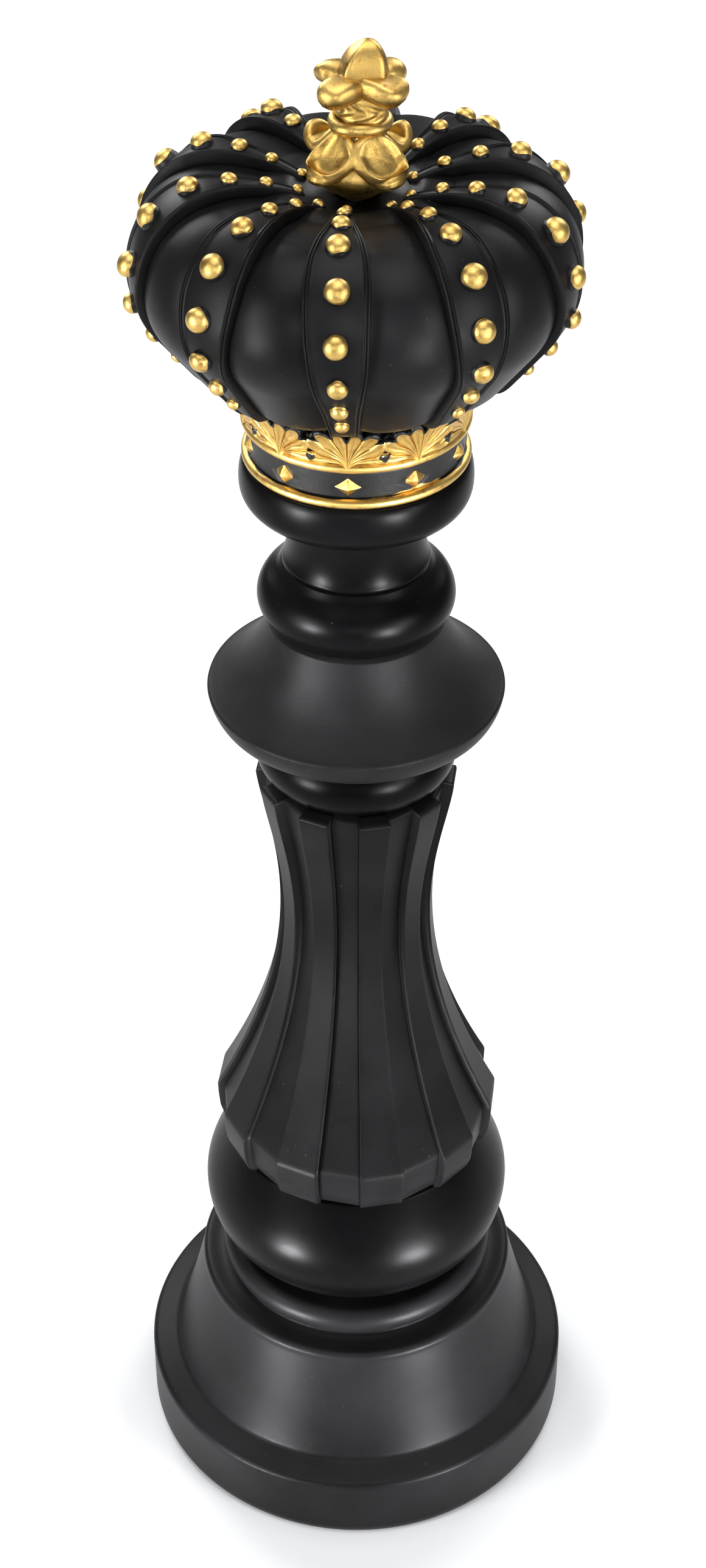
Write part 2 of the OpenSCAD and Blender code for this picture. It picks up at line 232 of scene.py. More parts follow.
def join_grids(node, grids, material, leafing=None):
    """Several separate grids as one gilt piece in place of a CAD node, each closed at both ends."""
    name = f"{node}_skin"
    whole = bmesh.new()
    for index, points in enumerate(grids):
        rows, columns = points.shape[:2]
        part = bpy.data.meshes.new("part")
        faces = grid_faces(rows, columns)[2] + end_faces(rows, columns)
        part.from_pydata((points.reshape(-1, 3) * MM).tolist(), [], faces)
        add_leafing(part, np.ones(rows * columns) if leafing is None else leafing[index])
        whole.from_mesh(part)
        bpy.data.meshes.remove(part)
    mesh = bpy.data.meshes.new(name)
    whole.to_mesh(mesh)
    whole.free()
    return paint(finish_piece(name, mesh, "piece", [node]), material)

# %% [markdown]
# ## Profiles
# A turned piece starts as an outline: radius against height. Arcs and straight runs are joined, then walked
# at an even step and softened a little, because casting and paint round every corner by about half a
# millimetre.

# %% Outlines
def arc(centre, radii, start, stop, count=24):
    """Points on an ellipse about centre with the given radii, between two angles in degrees."""
    angle = np.radians(np.linspace(start, stop, count))
    return np.stack([centre[0] + radii[0] * np.cos(angle), centre[1] + radii[1] * np.sin(angle)], -1)


def curve(start, pull_a, pull_b, stop, count=40):
    """A cubic curve: it leaves start towards pull_a and reaches stop from pull_b."""
    t = np.linspace(0, 1, count)[:, None]
    start, pull_a, pull_b, stop = map(np.array, (start, pull_a, pull_b, stop))
    ends = (1 - t) ** 3 * start + t ** 3 * stop
    return ends + 3 * (1 - t) ** 2 * t * pull_a + 3 * (1 - t) * t ** 2 * pull_b


def soften(line, step, radius):
    """Walks a line at an even step, then averages each point with its neighbours by a bell weight."""
    line = np.array(line, float)
    length = np.append(0, np.linalg.norm(np.diff(line, axis=0), axis=1).cumsum())
    count = max(int(length[-1] / step), 4)
    even = np.linspace(0, length[-1], count)
    walked = np.stack([np.interp(even, length, line[:, axis]) for axis in range(line.shape[1])], -1)
    if radius <= 0:
        return walked
    reach = int(3 * radius / step) + 1
    offset = np.arange(-reach, reach + 1)
    weight = np.exp(-0.5 * (offset * step / radius) ** 2)
    weight /= weight.sum()
    before, after = walked[0] * 2 - walked[reach:0:-1], walked[-1] * 2 - walked[-2:-reach - 2:-1]
    padded = np.concatenate([before, walked, after])
    return np.stack([np.convolve(padded[:, axis], weight, "valid") for axis in range(line.shape[1])], -1)


def chain(*parts):
    """One outline from points and arcs in order."""
    return np.concatenate([np.atleast_2d(np.array(part, float)) for part in parts])

# %% [markdown]
# ## Turning
# A lathe carries an outline round the axis. Real castings aren't perfectly round, so the radius wanders by
# a tenth of a millimetre or two in slow waves, which is enough to make a long highlight waver as it does on
# a hand-finished piece.

# %% The lathe
rng = np.random.default_rng(64)


def wander(angle, height, size, waves=6):
    """Slow unevenness: a sum of waves in angle and height with random phases, about size millimetres deep."""
    total = np.zeros(np.broadcast(angle, height).shape)
    counts = rng.integers(1, 7, waves)
    rises = rng.uniform(0.02, 0.16, waves)
    phases = rng.uniform(0, 6.28, waves)
    for turns, rise, phase in zip(counts, rises, phases):
        total += np.cos(turns * angle + rise * height + phase)
    return size * total / waves


def turned(outline, bore, columns=224, uneven=0.22):
    """Carries an outline (radius, height) round the axis and closes it down a straight bore inside."""
    rise = np.linspace(outline[-1][1], outline[0][1], 6)
    inside = np.stack([np.full(6, bore), rise], -1)
    loop = np.concatenate([outline, inside])
    angle = np.linspace(0, 2 * np.pi, columns, endpoint=False)[None]
    height = np.repeat(loop[:, 1:2], columns, 1)
    radius = loop[:, :1] + wander(angle, height, uneven) * (loop[:, :1] > bore + 1)
    return polar(radius, angle, height)


def turned_piece(node, outline, bore, finish, step=0.8, soft=0.4):
    """A turned casting in place of a CAD node: the outline is walked and softened, turned, then painted."""
    points = turned(soften(outline, step, soft), bore)
    return paint(make_piece(f"{node}_skin", points, replaces=[node], wrap_rows=True), finish)

# %% [markdown]
# ## Black paint
# The body is black, but never one black. The paint is thin and rubbed back, so it is a little greyer where
# it was rubbed, its gloss changes in patches, and under raking light it shows fine brush marks that run the
# way the brush went. The marks read the UV map, which holds lengths, and the patches read Object
# coordinates.

# %% Node helpers
def add(tree, kind, inputs=(), **settings):
    """One shader node with its settings and input values."""
    made = tree.nodes.new(kind)
    for key, value in settings.items():
        setattr(made, key, value)
    for key, value in dict(inputs).items():
        made.inputs[key].default_value = value
    return made


def ramp(tree, source, stops):
    """A colour ramp over source. Each stop is a position and a grey value or a colour."""
    made = tree.nodes.new("ShaderNodeValToRGB")
    elements = made.color_ramp.elements
    while len(elements) < len(stops):
        elements.new(0.5)
    for element, (position, colour) in zip(elements, stops):
        element.position = position
        element.color = (colour, colour, colour, 1) if np.isscalar(colour) else (*colour, 1)
    tree.links.new(source, made.inputs["Fac"])
    return made.outputs["Color"]


def noise(tree, coordinates, scale, detail=4.0, rough=0.55, stretch=(1, 1, 1)):
    """Noise over coordinates in metres, stretched by its own mapping."""
    mapping = add(tree, "ShaderNodeMapping", {"Scale": stretch})
    tree.links.new(coordinates, mapping.inputs["Vector"])
    made = add(tree, "ShaderNodeTexNoise", {"Scale": scale, "Detail": detail, "Roughness": rough})
    tree.links.new(mapping.outputs["Vector"], made.inputs["Vector"])
    return made.outputs["Fac"]


def mix(tree, factor, a, b):
    """Blends colours or values a and b by a factor. Each may be a socket or a plain value."""
    made = tree.nodes.new("ShaderNodeMix")
    made.data_type = "RGBA"
    for name, kind, value in (("Factor", "VALUE", factor), ("A", "RGBA", a), ("B", "RGBA", b)):
        socket = next(s for s in made.inputs if s.name == name and s.type == kind)
        if isinstance(value, bpy.types.NodeSocket):
            tree.links.new(value, socket)
        else:
            socket.default_value = value if kind == "VALUE" else (*value, 1)
    return next(s for s in made.outputs if s.type == "RGBA")


def blank_material(name):
    """A new material, its node tree, its shader, and its coordinates by name."""
    material = bpy.data.materials.new(name)
    material.use_nodes = True
    tree = material.node_tree
    where = tree.nodes.new("ShaderNodeTexCoord")
    return material, tree, tree.nodes["Principled BSDF"], where.outputs


def bump(tree, shader, height, strength, distance, under=None):
    """Raises the surface by a height value, over an earlier bump if there is one."""
    made = add(tree, "ShaderNodeBump", {"Strength": strength, "Distance": distance})
    tree.links.new(height, made.inputs["Height"])
    if under is not None:
        tree.links.new(under.outputs["Normal"], made.inputs["Normal"])
    tree.links.new(made.outputs["Normal"], shader.inputs["Normal"])
    return made

# %% Black paint
GRAIN_DEPTH = 0.0002
BRUSH_DEPTH = 0.0006
DUST_GAIN, DUST_FLOOR = 4.0, 0.008


def black_paint(name, deep, rubbed, gloss, brush, brush_turn=(7, 260), specular=0.10):
    """Satin black paint on resin.

    deep and rubbed are the two tones that patches blend between. gloss is the range of the roughness.
    brush is the strength of the marks, and brush_turn their scale along the columns and the rows of the
    UV map.
    """
    material, tree, shader, where = blank_material(name)
    spot, lengths = where["Object"], where["UV"]
    patches = noise(tree, spot, 22.0, 5.0, 0.6)
    marks = noise(tree, lengths, 10.0, 6.0, 0.65, (brush_turn[0], brush_turn[1], 1))
    grain = noise(tree, spot, 1500.0, 3.0, 0.6)
    specks = noise(tree, spot, 620.0, 2.0, 0.5)
    wear = ramp(tree, patches, [(0.36, 0.0), (0.66, 1.0)])
    tone = mix(tree, wear, deep, rubbed)
    dust = ramp(tree, specks, [(0.74, 0.0), (0.79, 1.0)])
    tone = mix(tree, dust, tone, tuple(DUST_GAIN * value + DUST_FLOOR for value in rubbed))
    tree.links.new(tone, shader.inputs["Base Color"])
    sheen = mix(tree, marks, (gloss[0],) * 3, (gloss[1],) * 3)
    sheen = mix(tree, ramp(tree, patches, [(0.3, 0.0), (0.75, 0.35)]), sheen, (gloss[1] + 0.08,) * 3)
    tree.links.new(sheen, shader.inputs["Roughness"])
    under = bump(tree, shader, marks, brush, BRUSH_DEPTH)
    bump(tree, shader, grain, 0.12, GRAIN_DEPTH, under)
    shader.inputs["Specular IOR Level"].default_value = specular
    return material


SATIN = black_paint(
    "satin_black_paint", (0.0040, 0.0039, 0.0042), (0.0090, 0.0087, 0.0094),
    (0.32, 0.44), 0.08, specular=0.11)
GLOSSY = black_paint(
    "rubbed_black_paint", (0.0010, 0.0009, 0.0010), (0.0026, 0.0024, 0.0027),
    (0.25, 0.33), 0.05, specular=0.06)
BRUSHED = black_paint(
    "brushed_black_paint", (0.0045, 0.0044, 0.0046), (0.010, 0.0097, 0.0102),
    (0.34, 0.48), 0.25, specular=0.09)
PLEAT = black_paint(
    "pleat_black_paint", (0.0040, 0.0038, 0.0041), (0.010, 0.0096, 0.0103),
    (0.30, 0.42), 0.12, (260, 7), 0.08)
print("black paints made")

# %% [markdown]
# ## Gilding
# The gilding is leaf laid by hand over the black, with a fine crumpled grain. Its colour is painted lighter
# on the crests and darker amber in the hollows by the mesh's pointiness: painted highlight and painted shade.
# Where a stud meets its strap the leaf stops short and the black shows, so the material blends to black where
# the leafing value of the mesh runs out.

# %% Gilt
def gilding(name, masked):
    """Gold leaf over black. With masked, a mesh attribute from 0 to 1 says how far the leaf reaches."""
    material, tree, shader, where = blank_material(name)
    spot = where["Object"]
    form = tree.nodes.new("ShaderNodeNewGeometry")
    crumple = noise(tree, spot, 420.0, 6.0, 0.68)
    cloud = noise(tree, spot, 95.0, 4.0, 0.6)
    fine = noise(tree, spot, 2300.0, 3.0, 0.6)
    # Painted highlight on the crests and painted shade in the hollows, by pointiness.
    crest_light_mask = ramp(tree, form.outputs["Pointiness"], [(0.42, 0.0), (0.54, 1.0)])
    shaded_hollow_tone = mix(tree, cloud, (0.22, 0.095, 0.004), (0.42, 0.225, 0.025))
    lit_crest_tone = mix(tree, cloud, (0.56, 0.355, 0.085), (0.74, 0.53, 0.19))
    gold = mix(tree, crest_light_mask, shaded_hollow_tone, lit_crest_tone)
    stain = ramp(tree, crumple, [(0.30, 1.0), (0.44, 0.0)])
    gold = mix(tree, stain, gold, (0.36, 0.15, 0.012))
    rough = mix(tree, crumple, (0.28,) * 3, (0.50,) * 3)
    if masked:
        reach = add(tree, "ShaderNodeAttribute", attribute_name="leafing", attribute_type="GEOMETRY")
        edge = add(tree, "ShaderNodeMath", {1: 0.30}, operation="MULTIPLY_ADD")
        tree.links.new(cloud, edge.inputs[0])
        tree.links.new(reach.outputs["Fac"], edge.inputs[2])
        leaf = ramp(tree, edge.outputs[0], [(0.60, 0.0), (0.64, 1.0)])
        gold = mix(tree, leaf, (0.003, 0.0029, 0.003), gold)
        tree.links.new(leaf, shader.inputs["Metallic"])
        rough = mix(tree, leaf, (0.40,) * 3, rough)
        shader.inputs["Specular IOR Level"].default_value = 0.3
    else:
        shader.inputs["Metallic"].default_value = 1.0
    tree.links.new(gold, shader.inputs["Base Color"])
    tree.links.new(rough, shader.inputs["Roughness"])
    under = bump(tree, shader, crumple, 0.35, 0.0005)
    bump(tree, shader, fine, 0.25, 0.00015, under)
    return material


GILT = gilding("gold_leaf", False)
GILT_EDGED = gilding("gold_leaf_over_black", True)
print("gilt made")

# %% [markdown]
# ## Pieces that the CAD already shapes
# The felt, the board, the screws, the plug, the ballast, the rod and its nuts keep their CAD shape. They
# still get a real finish, because the piece may be turned over or taken apart.

# %% Finishes for the hidden pieces
def plain_finish(name, dark, light, rough, scale, stretch=(1, 1, 1), metal=0.0, relief=0.2, depth=0.0004):
    """Two tones and a relief from stretched noise, for wood, rubber, felt, concrete and plated steel."""
    material, tree, shader, where = blank_material(name)
    spot = where["Object"]
    pattern = noise(tree, spot, scale, 6.0, 0.6, stretch)
    broad = noise(tree, spot, scale / 9, 3.0, 0.5, stretch)
    tone = mix(tree, ramp(tree, pattern, [(0.3, 0.0), (0.7, 1.0)]), dark, light)
    tone = mix(tree, ramp(tree, broad, [(0.35, 0.0), (0.8, 0.5)]), tone, dark)
    tree.links.new(tone, shader.inputs["Base Color"])
    tree.links.new(mix(tree, pattern, (rough[0],) * 3, (rough[1],) * 3), shader.inputs["Roughness"])
    shader.inputs["Metallic"].default_value = metal
    bump(tree, shader, pattern, relief, depth)
    return material


STEEL = plain_finish(
    "zinc_plated_steel", (0.42, 0.43, 0.45), (0.66, 0.66, 0.68), (0.24, 0.45), 300, (1, 1, 8), 1.0, 0.1)
FELT = plain_finish("black_felt", (0.012, 0.012, 0.013), (0.04, 0.04, 0.042), (0.85, 1.0), 1400, relief=0.9)
RUBBER = plain_finish("black_rubber", (0.02, 0.02, 0.02), (0.045, 0.044, 0.042), (0.6, 0.8), 500)
BOARD = plain_finish("pressed_board", (0.20, 0.13, 0.075), (0.38, 0.27, 0.17), (0.6, 0.8), 700, (1, 1, 3))
CONCRETE = plain_finish(
    "cast_concrete", (0.30, 0.29, 0.27), (0.50, 0.48, 0.45), (0.75, 0.95), 350, relief=0.6)

KEPT_NODES = {
    "felt_pad": FELT, "base_board": BOARD, "base_screws": STEEL, "filler_plug": RUBBER, "ballast": CONCRETE,
    "tie_rod": STEEL, "rod_nut_lower": STEEL, "rod_washer_lower": STEEL, "rod_nut_upper": STEEL,
    "rod_washer_upper": STEEL, "finial_pin": STEEL}
for kept, finish in KEPT_NODES.items():
    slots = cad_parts[kept].data.materials
    slots.clear()
    slots.append(finish)
print(len(KEPT_NODES), "CAD nodes keep their shape")

# %% [markdown]
# ## The foot
# Plinth, cone, ledge and bead are one casting. The plinth's top falls slightly outwards, the cone is a
# little hollow, and the bead above the ledge carries the bulb with a thin dark joint between them.

# %% The foot
PLINTH_R = 93.0
foot_line = chain(
    [(PLINTH_R - 1.0, 1.5), (PLINTH_R, 4.0), (PLINTH_R, 31.0)],
    arc((PLINTH_R - 2.2, 31.1), (2.2, 2.2), 0, 80, 8),
    [(82.2, 36.0), (81.2, 36.4)],
    curve((80.9, 36.9), (77.2, 46), (72.5, 64), (67.9, 85.0), 20),
    arc((65.2, 86.2), (2.8, 2.4), 10, 88, 10),
    [(62.0, 88.7), (59.6, 88.9), (57.9, 89.6)],
    arc((52.0, 96.0), (6.9, 6.9), -55, 78, 18),
    [(48.8, 102.9), (46.4, 103.9)])
turned_piece("foot_casting", foot_line, 34.5, SATIN, step=1.1, soft=0.5)

# %% [markdown]
# ## The bulb
# The bulb is the most polished of the turned pieces. Its lower half is rounder than its upper half, which
# climbs under the column's hem.

# %% The bulb
bulb_line = chain(
    [(46.2, 104.1), (45.6, 107.0)],
    arc((43.2, 134.0), (21.5, 26.5), -80, 0, 40),
    curve((64.7, 134.3), (64.7, 142.0), (61.6, 149.6), (52.4, 165.0), 34))
turned_piece("bulb", bulb_line, 34.2, GLOSSY, 1.1, 0.5)

# %% [markdown]
# ## The pleated column
# The column looks like folded card: twenty flat faces. Every second face tucks under its neighbour, shallow
# on one side and deep on the other, and the folds mirror each other about one plane. The radius at an angle
# is the outline's radius less the depth of that face, run straight from fold to fold, so the faces stay
# flat.

# %% The pleated column
PLEAT_FACES = 20
PLEAT_TURN = math.radians(-79.3)
PLEAT_STEP = 2 * math.pi / PLEAT_FACES
HEM = (58.7, 186.2)
COLUMN_TOP = (38.9, 353.2)
FOLD_ROUND = 0.30


def pleat_ring(line_r, line_z, across):
    """One ring of the column: the outline's radius, less each face's depth, drawn as straight chords.

    Along a face the point runs straight from one fold to the next. An even face keeps the outline's
    radius. An odd face starts a little below it at the fold nearer the mirror plane and ends deepest at
    the far one.
    """
    height = np.clip((line_z - HEM[1]) / (COLUMN_TOP[1] - HEM[1]), 0, 1)
    near = 1.3 + 1.5 * height ** 2
    far = 2.9 + 1.1 * height ** 2
    face = np.arange(-PLEAT_FACES // 2 + 1, PLEAT_FACES // 2 + 1)
    tucked = face % 2 != 0
    low_side = np.where(tucked, np.where(face > 0, near, far), 0.0)
    high_side = np.where(tucked, np.where(face > 0, far, near), 0.0)
    to_fold = np.minimum(across, 1 - across)
    rounding = FOLD_ROUND * np.exp(-(to_fold / 0.012) ** 2)
    r_low, r_high = line_r - low_side, line_r - high_side
    a_low = PLEAT_TURN + (face - 0.5) * PLEAT_STEP
    a_high = a_low + PLEAT_STEP
    x = np.outer(r_low * np.cos(a_low), 1 - across) + np.outer(r_high * np.cos(a_high), across)
    y = np.outer(r_low * np.sin(a_low), 1 - across) + np.outer(r_high * np.sin(a_high), across)
    shrink = 1 - rounding[None] / np.hypot(x, y)
    return np.stack([(x * shrink).ravel(), (y * shrink).ravel(), np.full(x.size, line_z)], -1)


ACROSS = np.concatenate([[0, 0.012, 0.035], np.linspace(0.08, 0.92, 9), [0.965, 0.988, 1]])
column_line = chain(
    [(52.0, 163.7), (56.4, 167.6), (58.0, 173.0), (58.6, 180.0), (58.75, 185.6)],
    curve((58.4, 186.6), (12.6, 278.4), (36.2, 323.3), (38.9, 352.4), 90),
    [(38.2, 353.0), (33.0, 353.4)])
column_line = soften(column_line, 1.4, 0.55)
inner_line = [(30.0, 353.0), (24, 330), (21, 290), (24, 245), (33, 214), (45, 184), (44, 163.8)]
column_rings = [pleat_ring(radius, height, ACROSS) for radius, height in column_line]
bore_angle = np.arctan2(column_rings[0][:, 1], column_rings[0][:, 0])
column_rings += [polar(radius, bore_angle, height) for radius, height in inner_line]
column_grid = np.array(column_rings)
column = make_piece("pleated_column_skin", column_grid, replaces=["pleated_column"], wrap_rows=True)
paint(column, PLEAT)

# %% [markdown]
# ## Beads, collar, neck and cup
# These are plain turned shapes. The beads and the cup are rubbed to a soft gloss, and the collar keeps its
# brush marks, which run round it.

# %% The waist bead
waist_line = chain(
    [(30.0, 353.3), (30.6, 354.0)],
    arc((27.6, 364.7), (10.9, 11.2), -72, 74, 30),
    [(29.0, 375.9)])
turned_piece("waist_bead", waist_line, 12, GLOSSY, 0.9)

# %% The collar
collar_line = chain(
    [(27.0, 376.2), (31.0, 376.4), (43.0, 379.2), (50.6, 383.5)],
    curve((51.2, 383.9), (53.2, 385.4), (55.3, 389.4), (55.7, 393.0), 12),
    arc((55.0, 393.7), (0.9, 0.9), -20, 90, 6),
    curve((54.4, 394.9), (46.6, 400.4), (38.4, 407.0), (32.5, 423.8), 34))
turned_piece("collar", collar_line, 16, BRUSHED, soft=0.25)

# %% The neck ring and the neck
ring_line = chain(
    [(28.4, 424.2)],
    arc((25.8, 434.7), (10.6, 11.0), -72, 58, 30),
    [(28.9, 446.2), (27.4, 448.4), (26.9, 449.3)])
turned_piece("neck_ring", ring_line, 12, GLOSSY)

neck_line = chain(
    [(26.6, 449.5), (27.2, 450.3)],
    curve((26.8, 451.2), (24.6, 455.4), (24.8, 464.0), (26.2, 469.6), 20),
    [(26.9, 470.3)])
turned_piece("neck", neck_line, 14, GLOSSY, step=0.6, soft=0.25)

# %% The cup under the crown
cup_line = chain(
    [(26.2, 470.5)],
    curve((26.9, 470.45), (40.7, 474.3), (41.9, 478.8), (41.9, 483.6), 40),
    arc((38.9, 483.6), (3.0, 8.8), 6, 88, 12),
    [(37.4, 492.4)])
turned_piece("crown_cup", cup_line, 12, GLOSSY, soft=0.35)

# %% [markdown]
# ## The band
# The band is black and runs between two gilt rims. Each diamond sits in a shallow recess of its own
# outline, which catches a thin shadow.

# %% The band
RIBS = 10
RIB_TURN = math.radians(-94.3)
RIB_STEP = 2 * math.pi / RIBS
BAND_R = 38.4
BAND_MIDDLE = 500.6
RECESS_WIDE, RECESS_TALL, RECESS_DEEP = 5.8, 4.7, 0.32
SMEAR_ANGLE = -0.98


def from_nearest_rib(angle):
    """The angle from the middle of the nearest rib. The leaves and the diamonds have the same middles."""
    return (angle - RIB_TURN + RIB_STEP / 2) % RIB_STEP - RIB_STEP / 2


band_line = soften(chain(
    [(37.3, 492.6), (37.5, 496.0), (BAND_R, 496.6), (BAND_R, 506.4), (37.5, 506.8)],
    [(37.5, 510.2), (36.0, 510.5), (36.0, 520.9)]), 0.45, 0.18)
band_points = turned(band_line, 14, 600, 0.05)
band_angle = np.arctan2(band_points[..., 1], band_points[..., 0])
sideways_share = np.abs(from_nearest_rib(band_angle)) * BAND_R / RECESS_WIDE
diamond_reach = sideways_share + np.abs(band_points[..., 2] - BAND_MIDDLE) / RECESS_TALL
recess = RECESS_DEEP / (1 + np.exp((diamond_reach - 1) * 16))
band_points[..., :2] *= (1 - recess / np.hypot(band_points[..., 0], band_points[..., 1]))[..., None]
from_smear = band_angle - SMEAR_ANGLE
smear_top = 497.0 + 0.8 * np.exp(-(from_smear / 0.14) ** 2) + 0.22 * np.sin(band_angle * 31)
smear = np.exp(-(from_smear / 0.30) ** 4) / (1 + np.exp((band_points[..., 2] - smear_top) * 7))
band = make_piece(
    "crown_band_skin", band_points, replaces=["crown_band"], wrap_rows=True, leafing=0.9 * smear)
paint(band, GILT_EDGED)

# %% [markdown]
# ## Gilt rims
# A rim is a half-round moulding. It was gilded with a loaded brush, so its edge against the black wanders,
# and at one place the gold has run onto the band.

# %% The rims
RIM_HALF = 1.9


def rim(node, height, run_over):
    """A half-round rim. The leafing falls off at both edges by an amount that wanders round the rim."""
    bulge = arc((38.2, height), (2.4, RIM_HALF), -90, 90, 22)
    outline = chain([(37.4, height - RIM_HALF)], bulge, [(37.4, height + RIM_HALF)])
    points = turned(soften(outline, 0.35, 0.12), 37.2, 400, 0.10)
    angle = np.arctan2(points[..., 1], points[..., 0])
    edge = np.abs(points[..., 2] - height) / RIM_HALF
    ragged = 0.10 * np.cos(9 * angle + 1.0) + 0.08 * np.cos(23 * angle)
    ragged = ragged + run_over * np.exp(-((angle + 1.05) / 0.25) ** 2)
    leafing = np.clip(1.30 - edge ** 3 + ragged, 0, 1)
    piece = make_piece(f"{node}_skin", points, replaces=[node], wrap_rows=True, leafing=leafing)
    return paint(piece, GILT_EDGED)


rim("band_rim_lower", 494.4, 0.3)
rim("band_rim_upper", 508.4, 0.0)

# %% [markdown]
# ## Diamonds
# Each diamond is a low pyramid with soft ridges, cut into the mould by hand and no two quite alike. In
# polar terms, a point at distance t from the middle lies at t times the diamond's outline, and its height
# falls with t.

# %% The diamonds
DIAMOND_WIDE, DIAMOND_TALL, DIAMOND_RISE = 5.1, 4.0, 2.2
CORNER_POWER = 0.94


def diamond_points(index):
    """A pyramid on the band: its outline is where the sum of the two scaled distances is about one.

    Away from the front the corners were trimmed by hand, so the outline is cut back there by a flat
    share.
    """
    wide = DIAMOND_WIDE * rng.uniform(0.96, 1.04)
    tall = DIAMOND_TALL * rng.uniform(0.94, 1.06)
    rise = DIAMOND_RISE * rng.uniform(0.9, 1.1)
    t = np.concatenate([np.linspace(1.0, 0.04, 11), [0.0]])[:, None]
    turn = np.linspace(0, 2 * np.pi, 64, endpoint=False)[None] + 0.001
    both = np.abs(np.cos(turn)) ** CORNER_POWER + np.abs(np.sin(turn)) ** CORNER_POWER
    outline = 1 / both ** (1 / CORNER_POWER)
    if index:
        quarter = ((turn + np.pi / 4) // (np.pi / 2)).astype(int) % 4
        outline = np.minimum(outline, rng.uniform(0.72, 0.95, 4)[quarter])
    sideways, upwards = t * outline * np.cos(turn) * wide, t * outline * np.sin(turn) * tall
    out = BAND_R - 0.5 + rise * (1 - t ** 1.15) + 0 * turn
    out = np.concatenate([(BAND_R - 1.0) + 0 * turn, out])
    sideways, upwards = np.concatenate([sideways[:1], sideways]), np.concatenate([upwards[:1], upwards])
    return polar(out, RIB_TURN + index * RIB_STEP + sideways / BAND_R, BAND_MIDDLE + upwards)


join_grids("band_diamonds", [diamond_points(k) for k in range(RIBS)], GILT)

# %% [markdown]
# ## The leaf gallery
# Ten leaves stand on the upper rim and just touch. A leaf has a vein up its middle and lobes that spread
# from the foot of the vein like a fan, each with a rounded tip. In polar terms about the foot, the edge is
# a rounded rectangle with scallops, and the relief is a row of ridges, one to a lobe. Less gold is laid in
# the hollows and the grooves, which is painted shade, and none on the tips, which stay black: partly an
# ungilt edge, partly painted shade for the shadow under the crown.

# %% The leaves
LEAF_FOOT = 508.9
LEAF_R = 39.2
LEAF_TALL = 16.6
LEAF_HALF = 14.2
LEAF_LEAN = 4.6
FAN_POWER = 3.6
LOBES_A_SIDE = 4
WRAP_R = 40.0


def leaf_sheet(index):
    """One leaf, wrapped round the drum: front and back as one closed grid, with its leafing value.

    Along the rows a point moves from the foot to the scalloped edge. Along the columns it swings from one
    side to the other on the front, then back again behind. The swing opens with the distance from the
    foot, so that the lobes leave the vein upright and bend outwards. Each lobe is a sine across, with a
    fine groove down its middle.
    """
    swing = np.linspace(-1, 1, 129)
    reach = np.linspace(0.0, 1, 30)[:, None]
    lobe = np.abs(np.sin(swing * math.pi * LOBES_A_SIDE))
    lobe_number = np.clip(((swing + 1) * LOBES_A_SIDE).astype(int), 0, 2 * LOBES_A_SIDE - 1)
    uneven = rng.normal(0, 0.02, 2 * LOBES_A_SIDE)[lobe_number]
    full = swing * math.radians(84)
    fan = (np.abs(np.sin(full)) / LEAF_HALF) ** FAN_POWER + (np.abs(np.cos(full)) / LEAF_TALL) ** FAN_POWER
    edge = fan ** (-1 / FAN_POWER) * (1 - 0.17 * (1 - lobe) ** 1.5 + uneven)
    edge = np.where(np.abs(swing) < 0.05, edge * 0.93, edge)
    lean = full * (0.56 + 0.44 * np.clip(reach / 0.7, 0, 1) ** 0.9)
    sideways, upwards = reach * edge * np.sin(lean), reach * edge * np.cos(lean)
    opened = np.clip(reach * 2.4, 0, 1)
    groove = 0.30 * np.exp(-((lobe - 1) / 0.10) ** 2)
    lip = 0.30 * np.exp(-((lobe - 0.42) / 0.16) ** 2)
    ridge = 1.25 * (lobe ** 0.6 - groove + lip) * opened
    vein = 1.2 * np.exp(-(sideways / 1.2) ** 2) * (1 - 0.5 * reach)
    bead = 0.7 * np.exp(-((reach - 0.93) / 0.06) ** 2) * lobe
    leaning = LEAF_LEAN * (np.clip(upwards, 0, 17) / LEAF_TALL) ** 1.7
    rounded = 0.9 * (1 - np.sqrt(np.clip(1 - np.clip(reach - 0.9, 0, 1) ** 2 * 100, 0, 1)))
    front = LEAF_R + ridge + vein + bead + leaning + 0.35 * (index % 2) * np.abs(swing) - rounded
    behind = front - ridge * 0.8 - 1.2
    out, sides, ups = (np.concatenate([a, b[:, ::-1]], 1)
                       for a, b in ((front, behind), (sideways, sideways), (upwards, upwards)))
    points = polar(out, RIB_TURN + index * RIB_STEP + sides / WRAP_R, LEAF_FOOT + ups)
    return points, leaf_gold(swing, reach, lobe, full, opened, sideways, upwards, index)


def leaf_gold(swing, reach, lobe, full, opened, sideways, upwards, index):
    """How far the gold reaches on a leaf: less in the hollows as painted shade, none at the side holes and
    the tips, which are partly ungilt and partly painted shade.
    """
    # Painted shade: less gold, down to black, in the hollows between the lobes and down each lobe's groove.
    hollow = 0.34 * (1 - lobe) ** 1.6 * opened + 0.14 * np.exp(-((lobe - 1) / 0.12) ** 2)
    # The black tips are partly ungilt edges, partly painted shade for the shadow under the crown.
    short_of_shaded_tip = (0.90 + 0.22 * np.sin(full) ** 4 - reach - 0.05 * (1 - lobe)) / 0.05
    gilt = np.clip(short_of_shaded_tip, -1, 1) + 0.25 * np.sin(swing * 29 + index)[None]
    hole = np.exp(-((np.abs(sideways) - 12.4) / 1.6) ** 2 - ((upwards - 4.0) / 1.4) ** 2)
    leafing = np.clip(0.5 + 0.5 * gilt - hollow - 1.2 * hole, 0, 1)
    return np.concatenate([leafing, leafing[:, ::-1]], 1)


leaves = [leaf_sheet(k) for k in range(RIBS)]
join_grids("leaf_gallery", [leaf[0] for leaf in leaves], GILT_EDGED, [leaf[1] for leaf in leaves])

# %% [markdown]
# ## The crown's outline
# The cap and the ribs share one outline: a shallow fall into the dimple under the finial, a round shoulder,
# and a taper back to the drum. Pieces on the crown are placed by a share of the way along it and by an
# angle.

